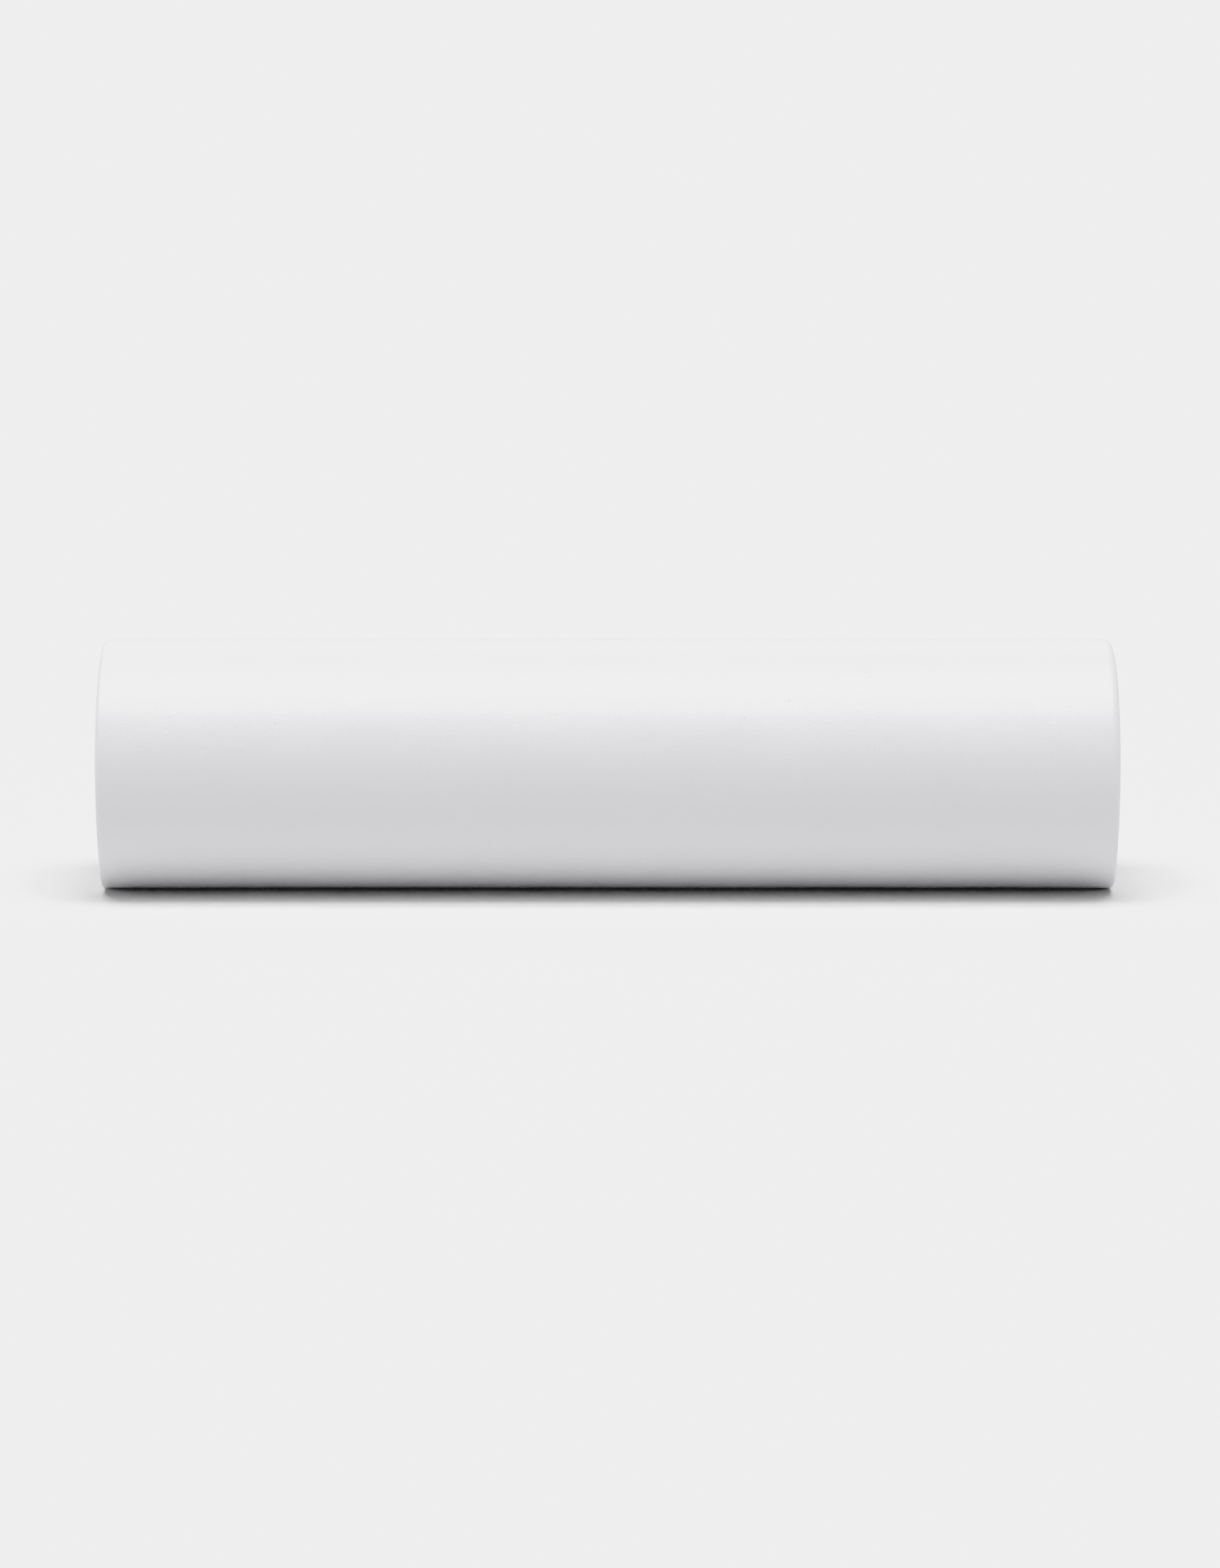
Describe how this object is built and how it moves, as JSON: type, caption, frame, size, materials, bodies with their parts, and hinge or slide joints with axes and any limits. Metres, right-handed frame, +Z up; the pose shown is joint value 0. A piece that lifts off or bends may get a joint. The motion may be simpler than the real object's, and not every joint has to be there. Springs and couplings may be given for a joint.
{
  "type": "foam roller",
  "caption": "Smooth round foam roller with rounded rims: a moulded foam sleeve on a hollow rigid tube, open at both ends through snap-in end rings.",
  "frame": {"origin": "on the floor, under the middle of the roller, on the line where it rests", "axes": "+X along the roller towards its right end, +Y away from the viewer, +Z up; the roller's own axis is parallel to X at Z = 0.076 m"},
  "size_m": [0.61, 0.152, 0.1519],
  "materials": {
    "foam": "matte",
    "adhesive": "satin",
    "tube_plastic": "satin",
    "ring_plastic": "satin"
  },
  "bodies": {
    "root": {"foam_sleeve": "foam", "adhesive_film": "adhesive", "core_tube": "tube_plastic", "left_end_ring": "ring_plastic", "right_end_ring": "ring_plastic"}
  },
  "joints": []
}
